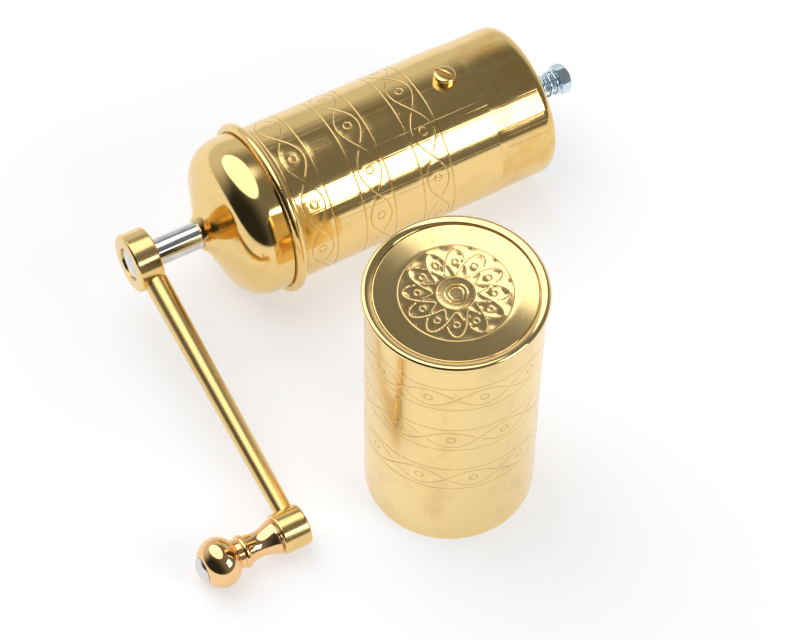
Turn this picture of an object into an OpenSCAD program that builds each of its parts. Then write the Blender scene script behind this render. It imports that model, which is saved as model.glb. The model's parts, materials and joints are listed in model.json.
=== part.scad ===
// Turkish coffee grinder lying on its side, with the ground-coffee cup taken off and stood upside down.
// Millimetres, +Z up, floor at z = 0, mill axis along X with the crank end towards -X.
// The mill is drawn standing on its burr end (z = 0 there, crank at the top), then laid down.

/* [Body tube] */
// Outer diameter of the body tube
tube_d = 49; // [44:0.5:56]
// Sheet thickness of the body tube
tube_wall = 0.8; // [0.6:0.1:1.2]
// Length of the body tube, burr end to mouth
tube_len = 92.6; // [86:0.1:110]
// Radius of the edge rolled in at the burr end
end_round = 2.2; // [1.8:0.1:3]
// How far the mouth bead stands out of the tube
bead_proud = 2.8; // [1.8:0.1:3.5]
// Thickness of the mouth bead
bead_d = 3.2; // [2.8:0.1:4.5]
// Length of tube that the cup covers
seat_len = 20; // [15:0.5:22]
// How far that length is turned down
seat_step = 0.3; // [0.26:0.02:0.4]

/* [Engraved bands] */
// Number of bands on the tube and on the cup
band_count = 3; // [1:1:3]
// Width of a band between its two edge lines
band_w = 10.2; // [6:0.1:12]
// Distance from band to band
band_pitch = 20.3; // [18:0.1:22]
// From the tube's mouth to the middle of the first band
tube_band_first = 9.6; // [9.5:0.1:12]
// From the top of the cup's rim to the middle of the first band
cup_band_first = 16.4; // [12:0.1:20]
// Width of an engraved edge line
groove_w = 0.35; // [0.2:0.05:0.5]
// Depth of an engraved edge line
groove_depth = 0.12; // [0.05:0.01:0.2]

/* [Burrs] */
// From the burr end of the tube to the outer burr
burr_inset = 14.5; // [13:0.5:18]
// Height of the outer burr
burr_h = 24; // [18:0.5:28]
// Diameter of the outer burr's bore at the bottom
burr_bore_d = 31; // [27:0.5:33]
// How much wider the bore is at the top
burr_flare = 4; // [2:0.5:5]
// Grinding gap between the burrs at the bottom
grind_gap = 0.8; // [0.6:0.1:1.2]
// Depth of the inner burr's top below the outer burr's
cone_sink = 2; // [1:0.5:5]
// Diameter of the inner burr at the top
cone_top_d = 14; // [12:0.5:18]
// Number of grinding grooves
burr_grooves = 12; // [8:1:16]
// Width of a grinding groove
burr_groove_w = 1.6; // [1:0.1:2]
// Depth of a grinding groove
burr_groove_depth = 1; // [0.5:0.1:1.5]
// Turn of the inner burr's grooves over its height
cone_twist = 25; // [0:1:40]

/* [Bridges] */
// Width of the two bridges
bridge_w = 10; // [9:0.5:14]
// Thickness of the two bridges
bridge_t = 3; // [2:0.25:4]
// Height of the posts under the outer burr
post_h = 6; // [5:0.5:8]
// Diameter of the posts
post_d = 5; // [4:0.25:6]
// Thread diameter of the bridge screws
bridge_screw_d = 2.5; // [2:0.25:3]
// Head diameter of the bridge screws
bridge_head_d = 4.4; // [3.5:0.1:5]
// Head height of the bridge screws
bridge_head_h = 1.6; // [1.2:0.1:2.5]
// Wall of the bush in the upper bridge
bush_wall = 1; // [0.6:0.1:1.5]

/* [Side screw] */
// Head diameter of the screw that holds the outer burr
side_head_d = 6.8; // [5:0.1:8]
// Head height of that screw
side_head_h = 2.7; // [2:0.1:3.5]
// How far it sits above the middle of the outer burr
side_rise = 1.4; // [0:0.1:3]
// Thread diameter of that screw
side_thread_d = 3; // [2:0.25:4]
// Length of its thread inside the outer burr
side_grip = 4; // [2:0.5:5]
// Direction of its slot, seen from above
slot_angle = -59; // [-90:1:90]
// Width of a screw's slot
slot_w = 1; // [0.6:0.1:1.4]
// Depth of a screw's slot
slot_depth = 1.1; // [0.6:0.1:1.4]

/* [Adjusting screw] */
// Thread diameter
adjust_d = 5; // [4:0.25:6]
// Width of the hexagon head across its flats
hex_af = 8.4; // [7:0.1:11]
// Height of the hexagon head
hex_h = 3.6; // [3:0.1:5]
// How far the head's end reaches out of the tube
adjust_reach = 17.8; // [17:0.2:24]
// Wire diameter of the spring under the head
spring_wire = 1; // [0.8:0.05:1.1]
// Number of curls of the spring
spring_curls = 7; // [5:1:8]
// How far the screw's tip stands out of the lower bridge
tip_stand = 1; // [0.8:0.1:1.4]
// Height of the thrust pad on the screw's tip
pad_h = 2; // [1:0.25:3]
// How far half a turn of the screw moves it
adjust_travel = 0.4; // [0.3:0.05:0.5]

/* [Spindle and shaft] */
// Diameter of the spindle through the inner burr
spindle_d = 8; // [7.5:0.25:9]
// Diameter of the spindle's socket head
socket_d = 12; // [10.5:0.5:14]
// Length of the socket head
socket_len = 12; // [10:0.5:16]
// Width of the square tang on the shaft
tang_w = 4.4; // [3.5:0.1:4.4]
// Length of the square tang
tang_len = 9; // [6:0.5:9.5]
// Diameter of the shaft
shaft_d = 8.4; // [8:0.1:9]
// Length of shaft that shows between the lid and the hub
shaft_show = 15.6; // [10:0.2:20]
// Diameter of the collar that lifts the lid
collar_d = 11.5; // [11:0.5:12.5]
// Thickness of that collar
collar_t = 1.5; // [1:0.1:2.5]

/* [Lid] */
// Outer diameter of the lid's dome at its rim
dome_d = 50; // [48:0.5:52]
// Sheet thickness of the lid
dome_wall = 0.8; // [0.6:0.1:1]
// Straight height of the dome's side
dome_side = 3.4; // [2:0.1:5]
// Radius of the dome's shoulder
shoulder_r = 10.5; // [9:0.1:12]
// Angle turned by the shoulder
shoulder_angle = 69; // [65:1:74]
// Straight height of the neck
neck_h = 0.6; // [0.3:0.1:1.5]
// Radius of the hollow between dome and neck
neck_fillet = 8; // [6:0.1:9]
// Angle at which that hollow meets the neck
neck_angle = 45; // [38:1:55]
// Depth of the spigot ring inside the tube's mouth
spigot_depth = 6; // [4:0.5:8]
// Sheet thickness of the spigot ring
spigot_wall = 0.8; // [0.6:0.1:1]
// Length of the bush that the shaft runs in
lid_bush_len = 10; // [8:0.5:12]
// Wall of that bush
lid_bush_wall = 0.6; // [0.5:0.1:1]

/* [Crank] */
// Diameter of the hub
hub_d = 18.2; // [16:0.2:20]
// Thickness of the hub
hub_t = 7.8; // [7.4:0.1:10]
// Diameter of the screw head in the hub
hub_screw_d = 10.2; // [9:0.1:12]
// Height of the screw head in the hub
hub_screw_h = 1.6; // [1:0.1:2]
// Thread diameter of the screw in the hub
hub_thread_d = 3; // [2:0.25:3.5]
// Length of thread of the screw inside the shaft
hub_thread_len = 6; // [4:0.5:8]
// From the mill's axis to the knob's axis
arm_len = 94.5; // [80:0.5:110]
// Diameter of the arm at the hub
arm_root_d = 7.3; // [6.5:0.1:7.6]
// Diameter of the arm at the knob
arm_tip_d = 5.5; // [5:0.1:6.6]
// How far the arm lies behind the middle of the hub and boss
arm_back = 1; // [0:0.1:1.2]
// Diameter of the boss at the arm's end
boss_d = 12.4; // [11:0.1:13.5]
// Length of the boss
boss_len = 8.8; // [7.8:0.1:10]

/* [Knob] */
// Diameter of the knob's ball
ball_d = 15.2; // [13:0.2:16]
// Half the length of the flattened ball along its axis
ball_half = 6.4; // [5.8:0.1:7.5]
// From the knob's foot to the middle of the ball
ball_at = 18; // [16.5:0.1:22]
// Diameter of the knob's foot
foot_d = 10.6; // [9.5:0.1:11.5]
// Diameter of the knob's waist
waist_d = 7.8; // [7:0.1:8.5]
// Diameter of the ring under the ball
ring_d = 10.2; // [9.4:0.1:11]
// Height of the ring under the ball
ring_h = 2.4; // [1.8:0.1:3]
// Diameter of the axle
axle_d = 3.2; // [2.5:0.1:3.6]
// Diameter of the axle's domed head
axle_head_d = 8.4; // [7:0.1:9]
// Height of the axle's domed head
axle_head_h = 1.6; // [1:0.1:2.5]
// Diameter of the riveted end of the axle
rivet_d = 6; // [4.6:0.1:7]
// Height of the riveted end of the axle
rivet_h = 0.8; // [0.5:0.1:1.5]
// Thickness of the washer under the knob
washer_t = 0.5; // [0.3:0.1:1]

/* [Cup] */
// Sheet thickness of the cup
cup_wall = 0.74; // [0.5:0.02:0.9]
// Height of the cup
cup_h = 89.7; // [78:0.1:100]
// How far the rim of the base stands out of the cup
rim_proud = 1; // [0.6:0.1:1.5]
// Thickness of that rim
rim_t = 2.2; // [1.8:0.1:3]
// Width of the rim seen from above
rim_w = 2.9; // [2.5:0.1:4]
// Depth of the base disc below the rim
base_inset = 0.7; // [0.3:0.1:1]
// Sheet thickness of the base disc
base_t = 0.7; // [0.5:0.1:0.9]
// Distance of the cup's axis from the burr end, along the mill
cup_along = 79.4; // [70:0.2:90]
// Distance of the cup's axis from the mill's axis
cup_aside = 92.7; // [85:0.2:110]

/* [Clearances] */
// Radial clearance of parts that turn or slide in each other
run_clear = 0.05; // [0.03:0.01:0.08]
// Radial clearance of the cup on the tube
cup_clear = 0.06; // [0.04:0.01:0.1]
// Clearance of the spring round the adjusting screw
spring_clear = 0.35; // [0.3:0.05:0.6]
// Joint gap of brazed, pressed or screwed parts
join_gap = 0.04; // [0.02:0.01:0.06]
// Gap between moving faces that rest on each other
rest_gap = 0.3; // [0.2:0.05:0.4]
// Clearance of the square tang in its socket, each side
tang_clear = 0.15; // [0.1:0.05:0.25]
// Clearance of the lid's spigot ring in the tube
spigot_clear = 0.35; // [0.3:0.05:0.6]

/* [Hidden] */
$fn = 96;

// Colours of the metals
brass = [0.85, 0.68, 0.36];
warm_brass = [0.86, 0.62, 0.33];
steel = [0.78, 0.78, 0.8];
zinc = [0.72, 0.8, 0.86];
iron = [0.36, 0.36, 0.38];

// Overlap of a cutting shape past the face that it cuts
cut = 1;
// Points on each rounded stretch of an outline
arc_steps = 16;
// Chamfer of turned edges, and the wall left beside a screw head
edge_chamfer = 0.5;

// Tube and mouth
tube_r = tube_d / 2;
tube_in_r = tube_r - tube_wall;
seat_r = tube_r - seat_step;
bead_r = tube_r + bead_proud;
bead_z = tube_len - bead_d / 2;
lip_r = seat_r - end_round;
roll_r = end_round - seat_r + tube_in_r;

// Heights inside the mill, from the burr end
burr_top = burr_inset + burr_h;
side_screw_z = burr_inset + burr_h / 2 + side_rise;
lower_bridge_top = burr_inset - post_h;
lower_bridge_z = lower_bridge_top - bridge_t;
upper_bridge_top = burr_top + bridge_t;
adjust_tip_z = lower_bridge_top + tip_stand;
pad_z = adjust_tip_z + rest_gap;
spindle_z = pad_z + pad_h + rest_gap;
cone_z = max(spindle_z, burr_inset) + rest_gap;
cone_top = burr_top - cone_sink;
socket_z = upper_bridge_top + bridge_head_h + rest_gap;
socket_top = socket_z + socket_len;
shaft_z = socket_top + rest_gap;

// Burr sizes
burr_r = tube_in_r - join_gap;
burr_bore_r = burr_bore_d / 2;
cone_r = burr_bore_r - grind_gap;
cone_top_r = cone_top_d / 2;
spindle_r = spindle_d / 2;
bush_r = spindle_r + run_clear + bush_wall;
post_x = (burr_r + burr_bore_r + burr_flare / 2) / 2;
bridge_half = post_x + bridge_head_d / 2 + edge_chamfer;
pin_d = spindle_d / 4;
pin_z = (cone_z + cone_top) / 2;

// Adjusting screw and its spring
adjust_r = adjust_d / 2;
hex_z = -adjust_reach;
hex_back = hex_z + hex_h;
spring_r = adjust_r + spring_clear + spring_wire / 2;
spring_bend = 1.2 * spring_wire;
spring_top = lower_bridge_z;
spring_low = hex_back + adjust_travel + rest_gap;
curl_top = spring_top - spring_wire - spring_bend;
curl_low = spring_low + spring_wire + spring_bend;
curl_rings = 8;
bend_rings = 4;

// Lid
dome_r = dome_d / 2;
dome_z = tube_len + rest_gap;
shoulder_z = dome_z + dome_side;
neck_r = shaft_d / 2 + run_clear + lid_bush_wall + join_gap + dome_wall;
tangent_r = dome_r - shoulder_r + shoulder_r * cos(shoulder_angle);
tangent_z = shoulder_z + shoulder_r * sin(shoulder_angle);
hollow_r = neck_r + neck_fillet * cos(neck_angle);
slope_len = (tangent_r + neck_fillet * cos(shoulder_angle) - hollow_r) / sin(shoulder_angle);
hollow_z = tangent_z + slope_len * cos(shoulder_angle) + neck_fillet * sin(shoulder_angle);
neck_z = hollow_z - neck_fillet * sin(neck_angle) + neck_h;
spigot_r = tube_in_r - spigot_clear;
lid_bush_z = neck_z - lid_bush_len;
collar_top = lid_bush_z - adjust_travel - rest_gap;

// Crank
shaft_r = shaft_d / 2;
hub_r = hub_d / 2;
hub_z = neck_z + shaft_show;
hub_face = hub_z + hub_t;
shaft_end = hub_face - hub_screw_h - join_gap;
crank_mid = hub_z + hub_t / 2;
arm_z = crank_mid - arm_back;
boss_z = crank_mid - boss_len / 2;
boss_face = boss_z + boss_len;
washer_z = boss_face + run_clear;
knob_z = washer_z + washer_t + run_clear;
ball_r = ball_d / 2;
ball_z = knob_z + ball_at;
axle_r = axle_d / 2;
knob_flat_r = axle_head_d / 2 - run_clear;
knob_top = ball_at + ball_half * sqrt(1 - pow(knob_flat_r / ball_r, 2));
axle_head_z = knob_z + knob_top + run_clear;
knob_end = axle_head_z + axle_head_h;

// Cup
cup_in_r = seat_r + cup_clear;
cup_r = cup_in_r + cup_wall;
rim_r = cup_r + rim_proud;
rim_z = cup_h - rim_t;
rim_in_r = rim_r - rim_w;
base_z = cup_h - base_inset - base_t;
flange_z = rim_z - base_t - join_gap;

// How the mill lies: burr end and bead on the floor, knob turned down until its ball is on the floor too
lie_tilt = atan((bead_r - seat_r) / (bead_z - end_round));
axis_h = seat_r * cos(lie_tilt) - end_round * sin(lie_tilt);
arm_drop = (axis_h + ball_z * sin(lie_tilt) - ball_r) / cos(lie_tilt);
arm_angle = asin(arm_drop / arm_len);
reach_x = adjust_reach * cos(lie_tilt) + hex_af / sqrt(3) * sin(lie_tilt);
far_x = -knob_end * cos(lie_tilt) - arm_drop * sin(lie_tilt);
lay_x = -(reach_x + far_x) / 2;
lay_y = (cup_aside + rim_r - bead_r) / 2;

module lay_down() {
    translate([lay_x, lay_y, axis_h])
        rotate([0, -90 + lie_tilt, 0])
            children();
}

module at_knob_axis() {
    translate([-arm_len * sin(arm_angle), -arm_len * cos(arm_angle), 0])
        children();
}

module at_cup() {
    translate([lay_x - cup_along, lay_y - cup_aside, 0])
        children();
}

// Both bridge screws' places, right and left of the axis
module both_sides() {
    for (side = [-1, 1])
        translate([side * post_x, 0, 0])
            children();
}

module pipe(outer_r, inner_r, z0, z1) {
    translate([0, 0, z0])
        difference() {
            cylinder(r = outer_r, h = z1 - z0);
            translate([0, 0, -cut])
                cylinder(r = inner_r, h = z1 - z0 + 2 * cut);
        }
}

module rod(r, z0, z1) {
    translate([0, 0, z0])
        cylinder(r = r, h = z1 - z0);
}

// A shallow line round a cylinder of radius r
module scribed_line(r, z) {
    pipe(r + cut, r - groove_depth, z - groove_w / 2, z + groove_w / 2);
}

// Edge lines of all bands, counted down from first_z
module band_lines(r, first_z) {
    for (band = [0 : band_count - 1], side = [-1, 1])
        scribed_line(r, first_z - band * band_pitch + side * band_w / 2);
}

// A slotted screw standing on z = 0, its thread below
module slotted_screw(head_d, head_h, thread_d, thread_len, slot_turn) {
    difference() {
        cylinder(d = head_d, h = head_h);
        translate([0, 0, head_h - slot_depth])
            rotate([0, 0, slot_turn])
                translate([-head_d, -slot_w / 2, 0])
                    cube([2 * head_d, slot_w, slot_depth + cut]);
    }
    translate([0, 0, -thread_len])
        cylinder(d = thread_d, h = thread_len);
}

function arc(centre_r, centre_z, r, from, to) = [
    for (i = [0 : arc_steps])
        let (a = from + (to - from) * i / arc_steps)
            [centre_r + r * cos(a), centre_z + r * sin(a)]
];

function backwards(points) = [for (i = [len(points) - 1 : -1 : 0]) points[i]];

// Outline of the dome moved inwards by a wall thickness, from the rim up to the neck's end
function dome_line(inset) = concat(
    [[dome_r - inset, dome_z]],
    arc(dome_r - shoulder_r, shoulder_z, shoulder_r - inset, 0, shoulder_angle),
    arc(hollow_r, hollow_z, neck_fillet + inset, 180 + shoulder_angle, 180 + meeting_angle(inset)),
    [[neck_r - inset, neck_z]]
);

// Angle at which the hollow, moved inwards, meets the neck's wall
function meeting_angle(inset) = acos((hollow_r - neck_r + inset) / (neck_fillet + inset));

module body_tube() {
    color(brass) lay_down() difference() {
        rotate_extrude()
            polygon(concat(
                [[tube_in_r, tube_len]],
                arc(lip_r, end_round, roll_r, 0, -90),
                arc(lip_r, end_round, end_round, -90, 0),
                [[seat_r, seat_len], [tube_r, seat_len], [tube_r, tube_len]]
            ));
        band_lines(tube_r, tube_len - tube_band_first);
        translate([0, 0, side_screw_z])
            rotate([0, 90, 0])
                cylinder(d = side_thread_d + 2 * join_gap, h = tube_r + cut);
    }
}

module mouth_bead() {
    color(brass) lay_down() difference() {
        translate([0, 0, bead_z])
            rotate_extrude()
                translate([bead_r - bead_d / 2, 0])
                    circle(d = bead_d);
        rod(tube_r + join_gap, bead_z - bead_d, bead_z + bead_d);
    }
}

module outer_burr() {
    color(iron) lay_down() difference() {
        rod(burr_r, burr_inset, burr_top);
        translate([0, 0, burr_inset])
            cylinder(r1 = burr_bore_r, r2 = burr_bore_r + burr_flare / 2, h = burr_h);
        rod(burr_bore_r, burr_inset - cut, burr_inset + cut);
        rod(burr_bore_r + burr_flare / 2, burr_top, burr_top + cut);
        for (i = [0 : burr_grooves - 1])
            rotate([0, 0, (i + 0.5) * 360 / burr_grooves])
                translate([0, -burr_groove_w / 2, burr_inset - cut])
                    cube([burr_bore_r + burr_groove_depth, burr_groove_w, burr_h + 2 * cut]);
        translate([0, 0, side_screw_z])
            rotate([0, 90, 0])
                translate([0, 0, burr_r - side_grip - cut])
                    cylinder(d = side_thread_d + 2 * join_gap, h = side_grip + 2 * cut);
        both_sides() {
            rod(bridge_screw_d / 2 + join_gap, burr_top - post_h, burr_top + cut);
            rod(bridge_screw_d / 2 + join_gap, burr_inset - cut, burr_inset + post_h);
        }
    }
}

module burr_screw() {
    color(brass) lay_down()
        translate([tube_r + join_gap, 0, side_screw_z])
            rotate([0, 90, 0])
                slotted_screw(side_head_d, side_head_h, side_thread_d,
                              tube_wall + 2 * join_gap + side_grip, slot_angle);
}

// A bar across the mill with a round eye in the middle and a screw hole at each end
module bridge(z, eye_r, hole_r) {
    difference() {
        intersection() {
            union() {
                translate([-bridge_half, -bridge_w / 2, z])
                    cube([2 * bridge_half, bridge_w, bridge_t]);
                rod(eye_r, z, z + bridge_t);
            }
            rod(burr_r, z, z + bridge_t);
        }
        rod(hole_r, z - cut, z + bridge_t + cut);
        both_sides()
            rod(bridge_screw_d / 2 + join_gap, z - cut, z + bridge_t + cut);
    }
}

module upper_bridge() {
    color(steel) lay_down()
        bridge(burr_top, max(bush_r + bush_wall, bridge_w / 2), bush_r + join_gap);
}

module bridge_bush() {
    color(brass) lay_down()
        pipe(bush_r, spindle_r + run_clear, burr_top, upper_bridge_top);
}

module lower_bridge() {
    color(steel) lay_down()
        bridge(lower_bridge_z, max(spring_r + spring_bend, bridge_w / 2), adjust_r + run_clear);
}

module bridge_posts() {
    color(steel) lay_down()
        both_sides()
            pipe(post_d / 2, bridge_screw_d / 2 + join_gap, lower_bridge_top, burr_inset);
}

module bridge_screws() {
    color(steel) lay_down()
        both_sides() {
            translate([0, 0, upper_bridge_top])
                slotted_screw(bridge_head_d, bridge_head_h, bridge_screw_d, bridge_t + post_h - cut, 0);
            translate([0, 0, lower_bridge_z])
                mirror([0, 0, 1])
                    slotted_screw(bridge_head_d, bridge_head_h, bridge_screw_d,
                                  bridge_t + 2 * post_h - cut, 0);
        }
}

// Spring: the wire leaves the lower bridge straight, bends into the curls and leaves them the same way
curl_count = spring_curls * curl_rings;

// Each ring is a place, the wire's direction there and the direction away from the axis
function curl_ring(i) =
    let (
        turn = 360 * i / curl_rings,
        z = curl_top + (curl_low - curl_top) * i / curl_count,
        rise = (curl_low - curl_top) / spring_curls,
        along = [-sin(turn) * 2 * PI * spring_r, cos(turn) * 2 * PI * spring_r, rise]
    )
    [[spring_r * cos(turn), spring_r * sin(turn), z], along / norm(along), [cos(turn), sin(turn), 0]];

function bend_ring(a, turn, z, up) =
    let (
        side = [-sin(turn), cos(turn), 0],
        out = [cos(turn), sin(turn), 0],
        place = spring_r * out - up * spring_bend * sin(a) * side
    )
    [place + [0, 0, z + up * spring_bend * (1 - cos(a))], cos(a) * side - [0, 0, up * sin(a)], out];

function end_ring(turn, z, up) =
    let (last = bend_ring(90, turn, z, up))
    [last[0] + [0, 0, up * spring_wire], last[1], last[2]];

spring_rings = concat(
    [end_ring(0, curl_top, 1)],
    [for (i = [0 : bend_rings - 1]) bend_ring(90 - 90 * i / bend_rings, 0, curl_top, 1)],
    [for (i = [0 : curl_count]) curl_ring(i)],
    [for (i = [1 : bend_rings]) bend_ring(90 * i / bend_rings, 360 * spring_curls, curl_low, -1)],
    [end_ring(360 * spring_curls, curl_low, -1)]
);

wire_sides = 6;

function wire_points(rings) = [
    for (ring = rings, k = [0 : wire_sides - 1])
        let (
            a = 360 * k / wire_sides,
            across = cross(ring[1], ring[2])
        )
        ring[0] + spring_wire / 2 * (cos(a) * ring[2] + sin(a) * across)
];

function wire_faces(count) = concat(
    [for (k = [1 : wire_sides - 2]) [0, k, k + 1]],
    [
        for (i = [0 : count - 2], k = [0 : wire_sides - 1], half = [0, 1])
            let (
                a = i * wire_sides + k,
                b = i * wire_sides + (k + 1) % wire_sides
            )
            half == 0 ? [a, a + wire_sides, b] : [b, a + wire_sides, b + wire_sides]
    ],
    [
        for (k = [1 : wire_sides - 2])
            let (last = (count - 1) * wire_sides)
                [last, last + k + 1, last + k]
    ]
);

// Least gap between neighbouring curls, measured ring to ring at least half a curl apart
spring_gap = min([
    for (i = [0 : len(spring_rings) - 1], j = [i + curl_rings / 2 + 1 : len(spring_rings) - 1])
        norm(spring_rings[i][0] - spring_rings[j][0])
]) - spring_wire;
echo(spring_least_gap = spring_gap);

module adjusting_spring() {
    color(steel) lay_down()
        polyhedron(wire_points(spring_rings), wire_faces(len(spring_rings)));
}

module adjusting_screw() {
    color(zinc) lay_down() {
        intersection() {
            translate([0, 0, hex_z])
                cylinder(r = hex_af / sqrt(3), h = hex_h, $fn = 6);
            translate([0, 0, hex_z])
                cylinder(r1 = hex_af / 2, r2 = hex_af / 2 + hex_h, h = hex_h);
        }
        rod(adjust_r, hex_back, adjust_tip_z);
    }
}

module thrust_pad() {
    color(brass) lay_down()
        rod(spindle_r, pad_z, pad_z + pad_h);
}

// Outline of the inner burr: a circle cut by its grooves
function cone_outline() = [
    for (i = [0 : burr_grooves - 1], corner = [-1.5, -0.5, 0.5, 1.5])
        let (
            groove_turn = 2 * asin(burr_groove_w / 2 / cone_r),
            a = i * 360 / burr_grooves + corner * groove_turn,
            r = abs(corner) < 1 ? cone_r - burr_groove_depth : cone_r
        )
        [r * cos(a), r * sin(a)]
];

module inner_burr() {
    color(iron) lay_down() difference() {
        translate([0, 0, cone_z])
            linear_extrude(cone_top - cone_z, scale = cone_top_r / cone_r,
                           twist = cone_twist, slices = arc_steps / 2)
                polygon(cone_outline());
        rod(spindle_r + join_gap, cone_z - cut, cone_top + cut);
        translate([0, 0, pin_z])
            rotate([90, 0, 0])
                cylinder(d = pin_d + 2 * join_gap, h = burr_bore_d, center = true);
    }
}

module burr_pin() {
    color(steel) lay_down()
        translate([0, 0, pin_z])
            rotate([90, 0, 0])
                cylinder(d = pin_d, h = cone_r + cone_top_r - 2 * burr_groove_depth, center = true);
}

module drive_spindle() {
    color(steel) lay_down() difference() {
        union() {
            rod(spindle_r, spindle_z, socket_top);
            rod(socket_d / 2, socket_z, socket_top);
        }
        translate([0, 0, socket_top - tang_len])
            translate([-tang_w / 2 - tang_clear, -tang_w / 2 - tang_clear, -rest_gap])
                cube([tang_w + 2 * tang_clear, tang_w + 2 * tang_clear, tang_len + rest_gap + cut]);
        translate([0, 0, pin_z])
            rotate([90, 0, 0])
                cylinder(d = pin_d + 2 * join_gap, h = socket_d, center = true);
    }
}

module drive_shaft() {
    color(steel) lay_down() difference() {
        union() {
            rod(shaft_r, shaft_z, shaft_end);
            translate([-tang_w / 2, -tang_w / 2, socket_top - tang_len])
                cube([tang_w, tang_w, tang_len + rest_gap]);
        }
        rod(hub_thread_d / 2 + join_gap, shaft_end - hub_thread_len - cut, shaft_end + cut);
    }
}

module shaft_collar() {
    color(steel) lay_down()
        pipe(collar_d / 2, shaft_r + join_gap, collar_top - collar_t, collar_top);
}

module crank_hub() {
    color(brass) lay_down() difference() {
        rotate_extrude()
            polygon([
                [0, hub_z], [hub_r - edge_chamfer, hub_z], [hub_r, hub_z + edge_chamfer],
                [hub_r, hub_face - edge_chamfer], [hub_r - edge_chamfer, hub_face], [0, hub_face]
            ]);
        rod(shaft_r + join_gap, hub_z - cut, hub_face);
        rod(hub_screw_d / 2 + join_gap, hub_face - hub_screw_h, hub_face + cut);
    }
}

module hub_screw() {
    color(steel) lay_down() {
        rod(hub_screw_d / 2, shaft_end + join_gap, hub_face);
        rod(hub_thread_d / 2, shaft_end - hub_thread_len, shaft_end + join_gap);
    }
}

module crank_arm() {
    color(brass) lay_down() difference() {
        translate([0, 0, arm_z])
            rotate([0, 0, -90 - arm_angle])
                rotate([0, 90, 0])
                    cylinder(d1 = arm_root_d, d2 = arm_tip_d, h = arm_len);
        rod(hub_r + join_gap, arm_z - arm_root_d, arm_z + arm_root_d);
        at_knob_axis()
            rod(boss_d / 2 + join_gap, boss_z - cut, boss_face + cut);
    }
}

module arm_boss() {
    color(brass) lay_down() at_knob_axis()
        pipe(boss_d / 2, axle_r + join_gap, boss_z, boss_face);
}

module knob_axle() {
    dome_r = (axle_head_d * axle_head_d / 4 + axle_head_h * axle_head_h) / (2 * axle_head_h);
    color(steel) lay_down() at_knob_axis() {
        rod(axle_r, boss_z - join_gap, axle_head_z);
        rod(rivet_d / 2, boss_z - join_gap - rivet_h, boss_z - join_gap);
        intersection() {
            translate([0, 0, knob_end - dome_r])
                sphere(r = dome_r);
            rod(axle_head_d, axle_head_z, knob_end + cut);
        }
    }
}

module knob_washer() {
    color(steel) lay_down() at_knob_axis()
        pipe(foot_d / 2 - edge_chamfer, axle_r + join_gap, washer_z, washer_z + washer_t);
}

// Foot, hollow waist, ring and flattened ball, turned in one piece
module knob() {
    foot_r = foot_d / 2;
    foot_h = edge_chamfer + run_clear;
    ring_turn = 60;
    ring_z = ball_at - ball_half - ring_h / 2;
    waist_end_r = ring_d / 2 - ring_h / 2 * (1 - cos(ring_turn));
    waist_end = ring_z - ring_h / 2 * sin(ring_turn);
    waist_dip = (foot_r + waist_end_r - waist_d) / 2;
    ball_start = asin(waist_end_r / ball_r);
    flat_turn = asin(knob_flat_r / ball_r);
    color(warm_brass) lay_down() at_knob_axis() translate([0, 0, knob_z]) difference() {
        rotate_extrude()
            polygon(concat(
                [[0, 0], [foot_r, 0]],
                [
                    for (i = [0 : arc_steps - 1])
                        let (u = i / arc_steps)
                            [
                                foot_r + (waist_end_r - foot_r) * u - waist_dip * sin(180 * u),
                                foot_h + (waist_end - foot_h) * u
                            ]
                ],
                arc(ring_d / 2 - ring_h / 2, ring_z, ring_h / 2, -ring_turn, ring_turn),
                [
                    for (i = [0 : arc_steps])
                        let (turn = -90 + ball_start + (180 - ball_start - flat_turn) * i / arc_steps)
                            [ball_r * cos(turn), ball_at + ball_half * sin(turn)]
                ],
                [[0, knob_top]]
            ));
        rod(axle_r + run_clear, -cut, knob_top + cut);
    }
}

module lid_dome() {
    color(brass) lay_down()
        rotate_extrude()
            polygon(concat(dome_line(0), backwards(dome_line(dome_wall))));
}

// Ring brazed inside the dome, stepped in to slide into the tube's mouth
module lid_spigot() {
    inner_r = spigot_r - spigot_wall;
    seat_r = dome_r - dome_wall - join_gap;
    color(brass) lay_down()
        rotate_extrude()
            polygon([
                [inner_r, tube_len - spigot_depth], [spigot_r, tube_len - spigot_depth],
                [spigot_r, dome_z], [seat_r, dome_z], [seat_r, shoulder_z], [inner_r, shoulder_z]
            ]);
}

module lid_bush() {
    color(brass) lay_down()
        pipe(neck_r - dome_wall - join_gap, shaft_r + run_clear, lid_bush_z, neck_z);
}

module cup_sleeve() {
    color(brass) at_cup() difference() {
        pipe(cup_r, cup_in_r, 0, flange_z - join_gap);
        band_lines(cup_r, cup_h - cup_band_first);
    }
}

// Base disc: a shallow pan that stands up inside the rim, with a flange between rim and sleeve
module cup_base() {
    pan_r = rim_in_r - join_gap;
    color(brass) at_cup()
        rotate_extrude()
            polygon([
                [0, base_z], [pan_r - base_t, base_z], [pan_r - base_t, flange_z],
                [cup_r, flange_z], [cup_r, flange_z + base_t], [pan_r, flange_z + base_t],
                [pan_r, base_z + base_t], [0, base_z + base_t]
            ]);
}

module cup_rim() {
    round_r = rim_t / 3;
    color(brass) at_cup()
        rotate_extrude()
            polygon(concat(
                [[rim_in_r, rim_z]],
                arc(rim_r - round_r, rim_z + round_r, round_r, -90, 0),
                arc(rim_r - round_r, cup_h - round_r, round_r, 0, 90),
                [[rim_in_r, cup_h]]
            ));
}

body_tube();
mouth_bead();
outer_burr();
burr_screw();
upper_bridge();
bridge_bush();
bridge_posts();
lower_bridge();
bridge_screws();
adjusting_spring();
adjusting_screw();
thrust_pad();
inner_burr();
burr_pin();
drive_spindle();
drive_shaft();
shaft_collar();
crank_hub();
hub_screw();
crank_arm();
arm_boss();
knob_axle();
knob_washer();
knob();
lid_dome();
lid_spigot();
lid_bush();
cup_sleeve();
cup_base();
cup_rim();
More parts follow.
